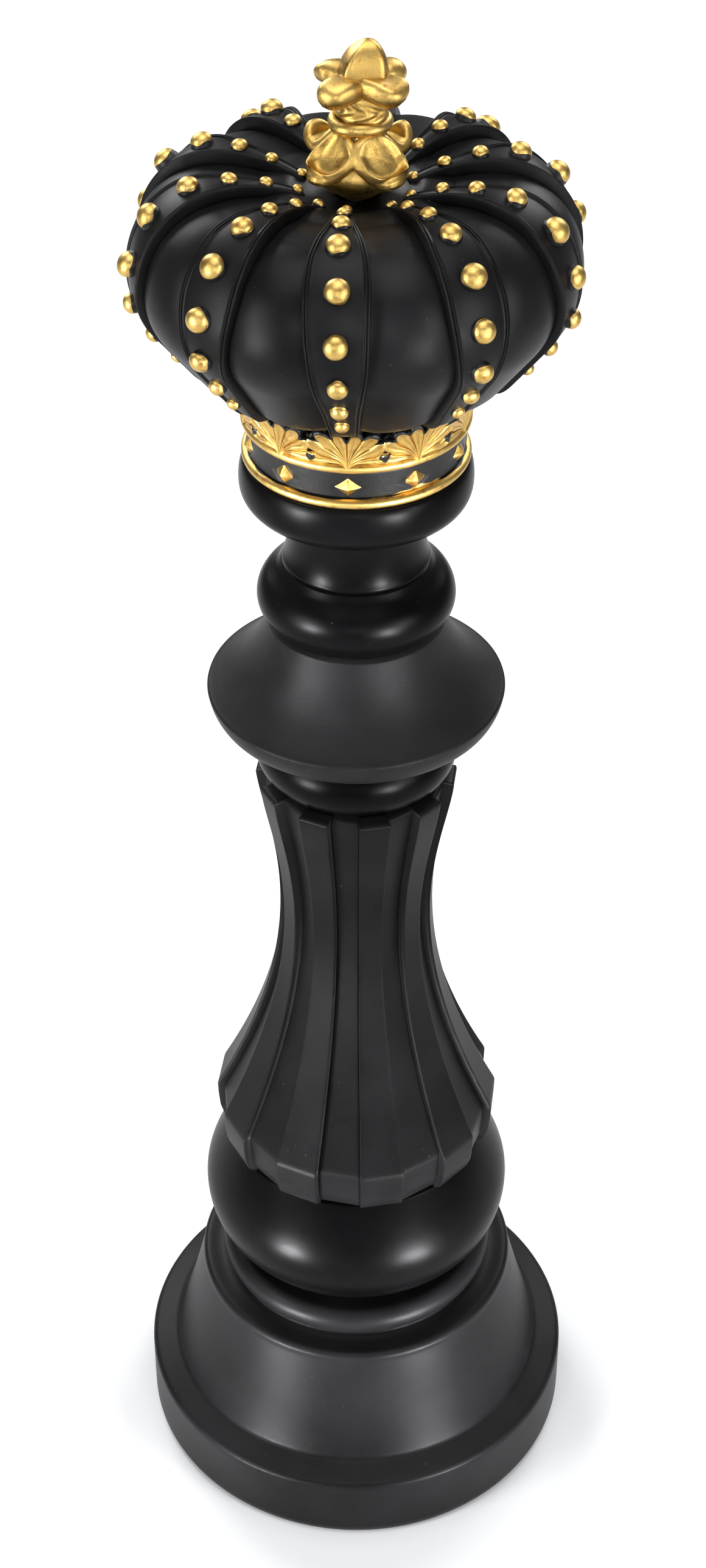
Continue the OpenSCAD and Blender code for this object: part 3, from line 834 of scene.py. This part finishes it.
# %% The crown's outline
crown_line = soften(chain(
    arc((48, 527.0), (71.5, 71.5), 115, 92, 16),
    arc((48, 566.5), (28.3, 32.0), 90, 0, 40),
    arc((50.3, 566.5), (26.0, 26.0), -3, -38, 16),
    [(56.6, 532.0), (54.0, 529.6), (48.5, 528.3), (41.0, 527.6)]), 1.1, 0.9)
crown_way = np.append(0, np.linalg.norm(np.diff(crown_line, axis=0), axis=1).cumsum())
crown_share = crown_way / crown_way[-1]
heading = np.gradient(crown_line, axis=0)
heading /= np.linalg.norm(heading, axis=1)[:, None]
crown_out = np.stack([-heading[:, 1], heading[:, 0]], -1)
print("crown outline", round(crown_way[-1], 1), "mm long,", len(crown_line), "points")


def share_at(radius, height):
    """The share of the way along the crown's outline that is nearest a radius and a height."""
    return crown_share[np.argmin(np.hypot(crown_line[:, 0] - radius, crown_line[:, 1] - height))]


def crown_at(share):
    """The radius and height of the outline at a share of the way, and its outward direction there."""
    tables = (crown_line, crown_out)
    return [[np.interp(share, crown_share, table[:, axis]) for axis in (0, 1)] for table in tables]


def on_crown(share, angle, lift):
    """A point on the crown: along the outline by share, lifted outwards from it, then swung to the angle."""
    (r, z), (out_r, out_z) = crown_at(share)
    r, z = r + lift * out_r, z + lift * out_z
    return polar(r, angle, z)


CREST = share_at(50, 598.4)
EQUATOR = share_at(76.3, 566.5)
UNDERSIDE = share_at(54.0, 529.6)

# %% [markdown]
# ## Widths and depths along the crown
# The ribs are broad at the shoulder and narrow at both ends. Each width or depth is a table of a few places
# along the outline, and the values between them are read off straight lines.

# %% Widths and depths along the crown
RIB_TABLE = soften([
    (0.0, 1.8), (share_at(24, 594), 2.3), (share_at(31, 597), 3.0), (share_at(41, 598.5), 4.7),
    (share_at(51.8, 598.2), 7.5), (share_at(59.7, 595.6), 9.5), (share_at(67.7, 589.4), 10.7),
    (share_at(73.1, 581.3), 11.0), (share_at(75.5, 574.1), 10.6), (share_at(76.2, 564.6), 9.6),
    (share_at(74.2, 556.3), 8.2), (share_at(65, 543), 6.2), (share_at(58, 534), 4.9), (1.0, 4.0)], 0.03, 0.05)


def rib_half(share):
    """Half the width of a rib in millimetres, with its piping, at a share of the outline."""
    return np.interp(share, RIB_TABLE[:, 0], RIB_TABLE[:, 1])


def piping_wide(share):
    """The width of the piping along one edge of a rib."""
    return np.minimum(1.95, 0.30 * rib_half(share))


def gore_drop(share):
    """How far the cap lies below the ribs' edges: level round the finial, shallow round the equator."""
    near_finial = [0, share_at(23, 593.7), share_at(27, 595.3), share_at(31, 596.6)]
    places = near_finial + [CREST, (CREST + EQUATOR) / 2, EQUATOR, UNDERSIDE, 1]
    return np.interp(share, places, [0.25, 0.25, 1.6, 3.4, 4.2, 2.8, 2.1, 2.0, 1.6])


def gore_pillow(share):
    """How far the middle of a gore swells above its edges."""
    places = [0, CREST, (CREST + EQUATOR) / 2, EQUATOR, UNDERSIDE, 1]
    return np.interp(share, places, [0.0, 0.6, 1.6, 2.0, 1.5, 0.5])


print("half widths of a rib:", np.round(rib_half(np.array([0, CREST, EQUATOR, 1])), 1), "mm")

# %% [markdown]
# ## The crown cap
# Between the ribs the cap swells like a padded cushion. Across a gore the surface is a flattened arch, one
# less a power of the distance from the middle. Under a rib it stays flat and low, out of sight.

# %% The crown cap
CAP_COLUMNS = 480
PILLOW_POWER = 2.4
cap_angle = (np.arange(CAP_COLUMNS) / CAP_COLUMNS * 2 * np.pi + RIB_TURN)[None]
cap_share = crown_share[:, None]
gore_half = RIB_STEP / 2 - rib_half(cap_share) / crown_line[:, :1]
from_gore = RIB_STEP / 2 - np.abs(from_nearest_rib(cap_angle))
across_gore = np.clip(from_gore / np.maximum(gore_half, 0.01), -1, 1)
pillow = gore_pillow(cap_share) * (1 - np.abs(across_gore) ** PILLOW_POWER)
cap_lift = -gore_drop(cap_share) + pillow + wander(cap_angle, cap_share * 90, 0.25)
cap_points = on_crown(cap_share, cap_angle, cap_lift)
inside_line = np.array([
    (39.2, 526.0), (38.8, 521.0), (15.0, 521.0), (15.0, 527.0), (38, 531), (50, 541), (64, 556),
    (66, 566), (60, 582), (46, 588), (24, 582), (10, 580), (7, 590)])
inside_points = polar(inside_line[:, :1], cap_angle, inside_line[:, 1:])
cap_grid = np.concatenate([cap_points, inside_points])
cap = make_piece("crown_cap_skin", cap_grid, replaces=["crown_cap"], wrap_rows=True)
paint(cap, SATIN)

# %% [markdown]
# ## The ribs
# A rib is a strap, slightly crowned, with two thin cords of piping along each edge. Its cross-section is a
# function of the distance from its middle: a low arch, then two round ridges with a groove between them,
# then a drop to the cap.

# %% The ribs
STRAP_RISE = 0.45
UNDER_CAP = 1.4
STRAP_SWAY = np.concatenate([[-2.3], rng.uniform(-1.6, 1.6, RIBS - 1)])
STRAP_X = np.linspace(-1, 1, 19)
PIPING_X = np.linspace(0, 1, 15)
PIPING_RISE = 0.75 * np.abs(np.sin(2 * np.pi * PIPING_X)) ** 0.75 - 0.35 * np.exp(-(PIPING_X / 0.09) ** 2)


def rib_sway(index, share):
    """How far a rib strays sideways, in millimetres: most at the finial, and a slow wave all the way down."""
    return STRAP_SWAY[index] * np.clip(1 - share / EQUATOR, 0, 1) ** 0.8 + 0.25 * np.sin(share * 9 + index)


def rib_points(index):
    """One rib from the finial to the leaves, as a closed section carried along the crown's outline.

    Across the strap the height is a low parabola. Beyond each edge of it the piping rises twice as the
    sine of the distance, and the last points drop to the cap and close the section underneath.
    """
    share = np.linspace(0.0, 1.0, 130)[:, None]
    outer = rib_half(share) * (1 + 0.02 * np.sin(share * 23 + index * 1.7))
    band = piping_wide(share)
    inner = outer - band
    sway = rib_sway(index, share)
    strap = inner * STRAP_X[None]
    right = inner + band * PIPING_X[None, 1:]
    x = np.concatenate([-right[:, ::-1], strap, right, outer + 0.25], 1)
    crown = np.interp(share, [0, 0.05, 1], [0.5, 1, 1])
    edge = PIPING_RISE[None, 1:] * np.interp(share, [0, 0.2, 1], [0.4, 1, 1])
    top = np.concatenate([edge[:, ::-1], STRAP_RISE * (1 - STRAP_X[None] ** 2) * crown, edge], 1)
    below = -gore_drop(share) - UNDER_CAP
    x = np.concatenate([x, outer * np.linspace(1, -1, 5)[None], -outer - 0.25], 1)
    lift = np.concatenate([top, below * 0.45, np.repeat(below, 5, 1), below * 0.45], 1)
    offset = (x + sway) / crown_at(share)[0][0]
    return on_crown(share, RIB_TURN + index * RIB_STEP + offset, lift)


for k in range(RIBS):
    rib_node = f"crown_rib_{k + 1}"
    paint(make_piece(f"{rib_node}_skin", rib_points(k), replaces=[rib_node], capped=True), SATIN)

# %% [markdown]
# ## The studs
# Each rib carries a row of nine studs that grow towards the shoulder and shrink again below it. A stud is a
# short black collar with a dome on it, and the gold stops unevenly at the collar.

# %% The studs
STUD_PLACES = [(20.6, 592.2), (30.4, 595.6), (42.0, 598.0), (55.4, 597.4), (68.4, 588.8), (76.4, 573.8),
               (75.9, 559.4), (68.8, 547.4), (61.4, 538.8)]
STUD_RADII = [1.9, 2.3, 2.9, 3.75, 4.4, 4.1, 3.55, 2.9, 2.35]
STUD_BARE = [0.0, 0.0, 0.05, 0.0, 0.0, 0.05, 0.15, 0.45, 0.6]


def stud_grid(share, angle, radius, bare):
    """A dome on a collar, standing on the rib, with its leafing value.

    The collar rises by a third of the radius. Above it the dome is a half sphere, flattened and tilted a
    little. bare is how far the leaf stays clear of the side that faces the crown's shoulder.
    """
    dome = np.linspace(0.06, np.pi / 2, 11)
    rise = np.concatenate([[-1.0, 0.0, 0.25, 0.33], 0.35 + 0.84 * np.sin(dome) * rng.uniform(0.92, 1.04)])
    wide = np.concatenate([[1.08, 1.06, 1.04, 1.0], np.cos(dome)])
    turn = np.linspace(0, 2 * np.pi, 26, endpoint=False)
    lean = rng.normal(0, 0.05, 2)
    east = radius * np.outer(wide, np.cos(turn)) + radius * rise[:, None] * lean[0]
    north = radius * np.outer(wide, np.sin(turn)) + radius * rise[:, None] * lean[1]
    up = radius * rise[:, None] + 0 * east
    (r, z), (out_r, out_z) = crown_at(share)
    along_r, along_z = out_z, -out_r
    r = r + up * out_r + north * along_r
    z = z + up * out_z + north * along_z
    c, s = math.cos(angle), math.sin(angle)
    points = np.stack([r * c - east * s, r * s + east * c, z], -1)
    ragged = 0.10 * np.sin(turn * rng.integers(2, 5) + rng.uniform(0, 6.28)) + rng.uniform(-0.06, 0.10)
    shoulder_side = bare * np.sin(turn)[None] * (1 - 0.3 * rise[:, None])
    leafing = rise[:, None] * 0.95 + 0.08 + ragged[None] + shoulder_side
    return points, np.clip(leafing, 0, 1)


for k in range(RIBS):
    rows = []
    for place, radius, bare in zip(STUD_PLACES, STUD_RADII, STUD_BARE):
        share = share_at(*place)
        middle = RIB_TURN + k * RIB_STEP + (rib_sway(k, share) + rng.normal(0, 0.3)) / place[0]
        rows.append(stud_grid(share, middle, radius * rng.uniform(0.95, 1.06), -bare * rng.uniform(0.6, 1.1)))
    join_grids(f"rib_studs_{k + 1}", [row[0] for row in rows], GILT_EDGED, [row[1] for row in rows])

# %% [markdown]
# ## The finial
# The finial is a flower: a squat ball, four petals that droop over it with rolled lips, a ring, four
# rounded lobes and a pointed bud. It leans a little to one side. The ball, the ring and the bud are turned,
# the petals are discs bent along a path, and the lobes are ovals carried along one. Slow waves make them
# all look like wax worked by hand.

# %% Placing the finial
FINIAL_FOOT = 591.0
FINIAL_LEAN = math.radians(3.0)


def lean_over(points):
    """Turns finial points about its foot by the lean towards +X, then lifts them to the foot's height."""
    x, y, z = points[..., 0], points[..., 1], points[..., 2]
    c, s = math.cos(FINIAL_LEAN), math.sin(FINIAL_LEAN)
    return np.stack([x * c + z * s, y, z * c - x * s + FINIAL_FOOT], -1)


def worked(points, size, scale):
    """Moves each point by slow waves in space, as wax moves under the fingers."""
    moved = points.copy()
    for axis in range(3):
        phase = rng.uniform(0, 6.28, 3)
        a, b = points[..., (axis + 1) % 3], points[..., (axis + 2) % 3]
        moved[..., axis] += size * np.sin(a / scale + phase[0]) * np.cos(b / scale * 1.3 + phase[1])
    return moved


def turned_finial(outline, columns=72):
    """A turned part of the finial, from the axis to the axis, closed at both poles."""
    angle = np.linspace(0, 2 * np.pi, columns, endpoint=False)[None]
    return polar(outline[:, :1], angle, outline[:, 1:])


def swing(points, degrees):
    """Turns points about the finial's axis."""
    x, y, z = points[..., 0], points[..., 1], points[..., 2]
    c, s = math.cos(math.radians(degrees)), math.sin(math.radians(degrees))
    return np.stack([x * c - y * s, x * s + y * c, z], -1)


def finial_piece(node, points):
    """A gilded finial part in place of a CAD node, closed at both ends."""
    piece = make_piece(f"{node}_skin", lean_over(points), replaces=[node], capped=True)
    return paint(piece, GILT)


def even_path(path):
    """A path walked at an even step, the share of the way at each point, and its direction there."""
    line = soften(path, 0.5, 1.0)
    share = np.append(0, np.linalg.norm(np.diff(line, axis=0), axis=1).cumsum())
    ahead = np.gradient(line, axis=0)
    return line, share / share[-1], ahead / np.linalg.norm(ahead, axis=1)[:, None]

# %% [markdown]
# ## The ball
# The ball bulges towards the four petals. Two shallow creases low on its front were pressed in by hand.

# %% The ball
calyx_line = soften(chain(
    [(0.05, -0.6), (7.0, -0.6)],
    arc((0, 9.0), (15.5, 9.2), -62, 40, 40),
    [(9.4, 17.6), (8.2, 22.4), (0.05, 22.4)]), 0.6, 0.7)
calyx_points = turned_finial(np.maximum(calyx_line, [0.05, -9]), 96)
calyx_angle = np.arctan2(calyx_points[..., 1], calyx_points[..., 0])
calyx_rise = calyx_points[..., 2]
swell = 1 + 0.035 * np.cos(4 * calyx_angle) * np.exp(-((calyx_rise - 9) / 8) ** 2)
pinch = 0.05 * np.exp(-((calyx_angle + 1.05) / 0.45) ** 2 - ((calyx_rise - 3.4) / 0.9) ** 2)
crease_low = 0.03 * np.exp(-((calyx_angle + 1.9) / 0.5) ** 2 - ((calyx_rise - 5.4) / 1.4) ** 2)
calyx_points[..., :2] *= (swell - pinch - crease_low)[..., None]
finial_piece("finial_calyx", worked(calyx_points, 0.35, 5.0))

# %% [markdown]
# ## The petals
# A petal is a disc: a point is given by its share of the way from the middle to the edge and by its
# direction. The disc is laid along a bent path, and its edge rolls up by a different amount at eight places
# round it.

# %% A petal
def spoon(path, left, right, rim, dish, thick, hug=0.6, square=2.6, rows=34, columns=88):
    """A dished petal with a rolled rim, as a disc that is bent along a path.

    path gives outward and upward distances from the root to the lip, left and right give the half-widths
    along it, and rim gives the height of the rolled rim at eight places round the edge, from the lip, by
    the right side, to the root and back by the left. A point at share q of the way from the middle to the
    edge rises by a bell round q = 0.80 and sinks by dish in the middle. hug bends the petal back round
    the ball with the square of the sideways distance.
    """
    line, t, step = even_path(path)
    turn = np.linspace(0, 2 * np.pi, columns, endpoint=False)[None]
    q = np.sin(np.linspace(0, np.pi / 2, rows))[:, None]
    stretch = 1 / (np.abs(np.cos(turn)) ** square + np.abs(np.sin(turn)) ** square) ** (1 / square)
    along = 0.5 + 0.5 * q * stretch * np.cos(turn)
    across = q * stretch * np.sin(turn)
    places = np.linspace(0, 1, len(left))
    half = np.where(across > 0, np.interp(along, places, right), np.interp(along, places, left))
    side = across * half
    bead = np.interp(turn, np.linspace(0, 2 * np.pi, 9), [*rim, rim[0]]) * np.exp(-((q - 0.80) / 0.19) ** 2)
    hollow = dish * np.clip(1 - (q / 0.8) ** 2, 0, 1)
    wall = thick * 0.5 * np.sqrt(np.clip(1 - q ** 6, 0, 1))
    out_r, out_z = np.interp(along, t, -step[:, 1]), np.interp(along, t, step[:, 0])
    shell = []
    for face in (bead - hollow + wall, -0.4 * bead - wall):
        r = np.interp(along, t, line[:, 0]) + face * out_r - hug * side ** 2 / 18
        z = np.interp(along, t, line[:, 1]) + face * out_z
        shell.append(np.stack([r, side, z], -1))
    return np.concatenate([shell[0], shell[1][::-1]])

# %% [markdown]
# ## The lobes
# A lobe is a tube with a flattened oval section, carried along a bent path. The side powers square the oval
# a little, and a dish in the upper face makes the soft dent that a thumb leaves.

# %% A lobe
def blade(path, wide, thick, dish, roll=(0, 0), columns=64):
    """A lobe carried along a path of outward, sideways and upward distances from the finial's axis.

    The section is a flattened oval, square to the path and turned about it by roll degrees. Its upper
    face sinks by dish in the middle, and both ends shrink to a point.
    """
    line, t, along = even_path(path)
    wide, thick, dish, roll = (
        np.interp(t, np.linspace(0, 1, len(table)), table)[:, None] for table in (wide, thick, dish, roll))
    ends = np.clip(1 - np.abs(2 * t - 1) ** 6, 0, 1)[:, None] ** 0.5
    across = np.array([[0.0, 1.0, 0.0]]) - along[:, 1:2] * along
    across /= np.linalg.norm(across, axis=1)[:, None]
    out = np.cross(along, across)
    turn = np.linspace(0, 2 * np.pi, columns, endpoint=False)[None]
    side = np.sign(np.cos(turn)) * np.abs(np.cos(turn)) ** 0.85
    face = np.sign(np.sin(turn)) * np.abs(np.sin(turn)) ** 0.85
    hollow = dish * np.clip(np.sin(turn), 0, 1) ** 0.6 * np.clip(1 - (side / 0.7) ** 2, 0, 1) ** 0.8
    a = side * wide * ends / 2
    b = face * thick * ends / 2 - hollow * ends
    c, s = np.cos(np.radians(roll)), np.sin(np.radians(roll))
    a, b = a * c - b * s, a * s + b * c
    return line[:, None] + a[..., None] * across[:, None] + b[..., None] * out[:, None]


# %% The petals and the lobes
# Azimuth, path, left and right half-widths, rim, dish and thickness
PETALS = [
    (46, [(8.0, 19.5), (12.0, 13.6), (16.0, 11.6), (20.0, 13.2), (21.8, 18.2)],
     [4.5, 6.0, 6.6, 6.4, 4.6], [4.5, 6.0, 6.6, 6.0, 3.6],
     [0.3, 0.4, 0.3, 0.2, 0.2, 0.2, 0.3, 0.4], 0.7, 4.2),
    (136, [(8.0, 19.5), (12.0, 13.6), (15.6, 11.4), (19.4, 13.0), (20.8, 18.0)],
     [4.5, 6.4, 7.0, 6.8, 5.4], [4.5, 6.4, 7.0, 6.8, 5.4],
     [0.3, 0.4, 0.3, 0.2, 0.2, 0.2, 0.3, 0.4], 0.7, 4.2),
    (226, [(7.6, 23.2), (11.0, 19.0), (13.8, 14.4), (16.4, 10.6), (19.2, 8.8), (21.2, 9.4)],
     [3.6, 4.4, 6.2, 8.0, 8.2, 7.0], [4.8, 8.0, 10.2, 8.8, 6.4, 4.4],
     [1.9, 1.2, 1.1, 0.7, 0.2, 0.9, 1.6, 3.2], 1.5, 3.0),
    (306, [(7.6, 23.2), (11.2, 19.0), (14.2, 14.4), (16.6, 10.8), (18.8, 9.2), (20.6, 9.8)],
     [6.6, 10.4, 11.4, 10.2, 8.0, 5.6], [5.0, 6.0, 7.8, 9.6, 10.4, 9.4],
     [2.0, 2.9, 1.0, 0.6, 0.2, 0.9, 1.2, 1.4], 1.4, 3.0)]
# Azimuth, path, widths, thicknesses, dishes and, where a lobe is tilted, its roll
LOBES = [
    (46, [(2, 0, 36.5), (7, 0, 37.4), (11.5, -0.4, 37.8), (15.2, -1.0, 36.8), (17.0, -1.4, 34.8)],
     [8, 9.8, 10.4, 9.8, 6.5], [7.0, 8.4, 8.8, 8.2, 5.4], [0, 0, 0, 0]),
    (142, [(2, 0, 36.5), (7, 0, 37.2), (12.0, 0, 37.2), (15.6, 0.6, 36.0), (17.2, 1.0, 34.0)],
     [8, 9.8, 10.2, 9.6, 6.4], [7.0, 8.4, 8.6, 8.2, 5.4], [0, 0, 0, 0]),
    (228, [(1, 0, 36.6), (6, 0.6, 37.4), (10.5, 0.4, 37.6), (14.0, -0.8, 36.4), (16.6, -1.8, 33.0)],
     [9, 10.2, 10.8, 10.4, 7.0], [7.4, 8.4, 8.8, 8.4, 5.6], [0, 0.2, 0.2, 0.0], (0, -8)),
    (306, [(1, 0, 36.8), (5.6, 0.2, 37.8), (9.4, 2.0, 37.8), (12.4, 4.2, 37.0), (14.8, 6.2, 35.4)],
     [10, 12.0, 12.6, 12.0, 8.6], [7.6, 8.8, 9.4, 8.8, 6.2], [0, 1.0, 0.8, 0.0], (0, 8))]
for k, (petal_row, lobe_row) in enumerate(zip(PETALS, LOBES)):
    petal = swing(worked(spoon(*petal_row[1:]), 0.30, 4.2), petal_row[0])
    finial_piece(f"finial_petal_{k + 1}", petal)
    lobe = swing(worked(blade(*lobe_row[1:]), 0.45, 4.5), lobe_row[0])
    finial_piece(f"finial_lobe_{k + 1}", lobe)

# %% [markdown]
# ## The ring and the bud
# The ring is a worn bead that tips a little. The bud is a turned drop cut by four flat facets: where the
# facets meet, its radius is held below a sum of high powers, which leaves a soft edge instead of a sharp
# one.

# %% The ring
ring_outline = soften(chain(
    [(0.05, 21.8), (7.0, 21.9)],
    arc((8.7, 24.4), (2.0, 2.2), -90, 130, 22),
    [(7.2, 25.4), (7.0, 27.6), (0.05, 27.8)]), 0.4, 0.25)
ring_points = turned_finial(np.maximum(ring_outline, [0.05, 0]), 96)
ring_angle = np.arctan2(ring_points[..., 1], ring_points[..., 0])
ring_share = np.clip(ring_points[..., 0] ** 2 + ring_points[..., 1] ** 2, 0, 49) / 49
ring_points[..., 2] += 0.5 * np.sin(ring_angle + 0.9) * ring_share
finial_piece("finial_ring", worked(ring_points, 0.28, 3.4))

# %% The bud
# Azimuth of each facet, and its distance from the axis as a share of the radius
BUD_FACETS = [(-85, 0.74), (15, 0.87), (105, 0.86), (192, 0.86)]
FACET_POWER = 16
bud_line = soften(chain(
    [(0.05, 26.4), (8.9, 26.6), (8.7, 28.6), (8.0, 31.0), (7.8, 34.0)],
    arc((0, 38.4), (8.9, 13.2), -14, 88, 40)), 0.4, 0.45)
bud_points = turned_finial(np.maximum(bud_line, [0.05, 0]), 144)
bud_angle = np.arctan2(bud_points[..., 1], bud_points[..., 0])
bud_height = np.clip((bud_points[..., 2] - 33) / 18, 0, 1)
cuts = 1.0
for facing, kept_share in BUD_FACETS:
    toward = np.clip(np.cos(bud_angle - math.radians(facing)), 0.02, 1)
    depth = 1 - (1 - kept_share) * np.clip(bud_height * 5, 0, 1)
    cuts = cuts + (toward / depth) ** FACET_POWER
bud_points[..., :2] *= (cuts ** (-1 / FACET_POWER) * 1.03)[..., None]
bud_points[..., 0] += 0.9 * bud_height ** 2.2
bud_points[..., 2] -= 1.2 * np.clip(bud_height - 0.6, 0, 1) * np.clip(-bud_points[..., 0] / 3, 0, 1)
neck_band = np.exp(-((bud_points[..., 2] - 29.5) / 2.4) ** 2)
folds = np.sin(7 * bud_angle + 2 * np.sin(bud_points[..., 2]))
bud_points[..., :2] *= (1 + 0.05 * neck_band * folds)[..., None]
finial_piece("finial_bud", worked(bud_points, 0.25, 5.5))

# %% [markdown]
# ## The floor's finish
# The floor is a plain pale sheet.

# %% The floor's finish
FLOOR_PAINT, floor_tree, floor_shader, floor_where = blank_material("pale_floor")
floor_cloud = noise(floor_tree, floor_where["Object"], 3.0, 3.0, 0.5)
floor_tone = mix(floor_tree, floor_cloud, (0.86, 0.86, 0.86), (0.9, 0.9, 0.9))
floor_tree.links.new(floor_tone, floor_shader.inputs["Base Color"])
floor_shader.inputs["Roughness"].default_value = 0.9
floor.data.materials.append(FLOOR_PAINT)
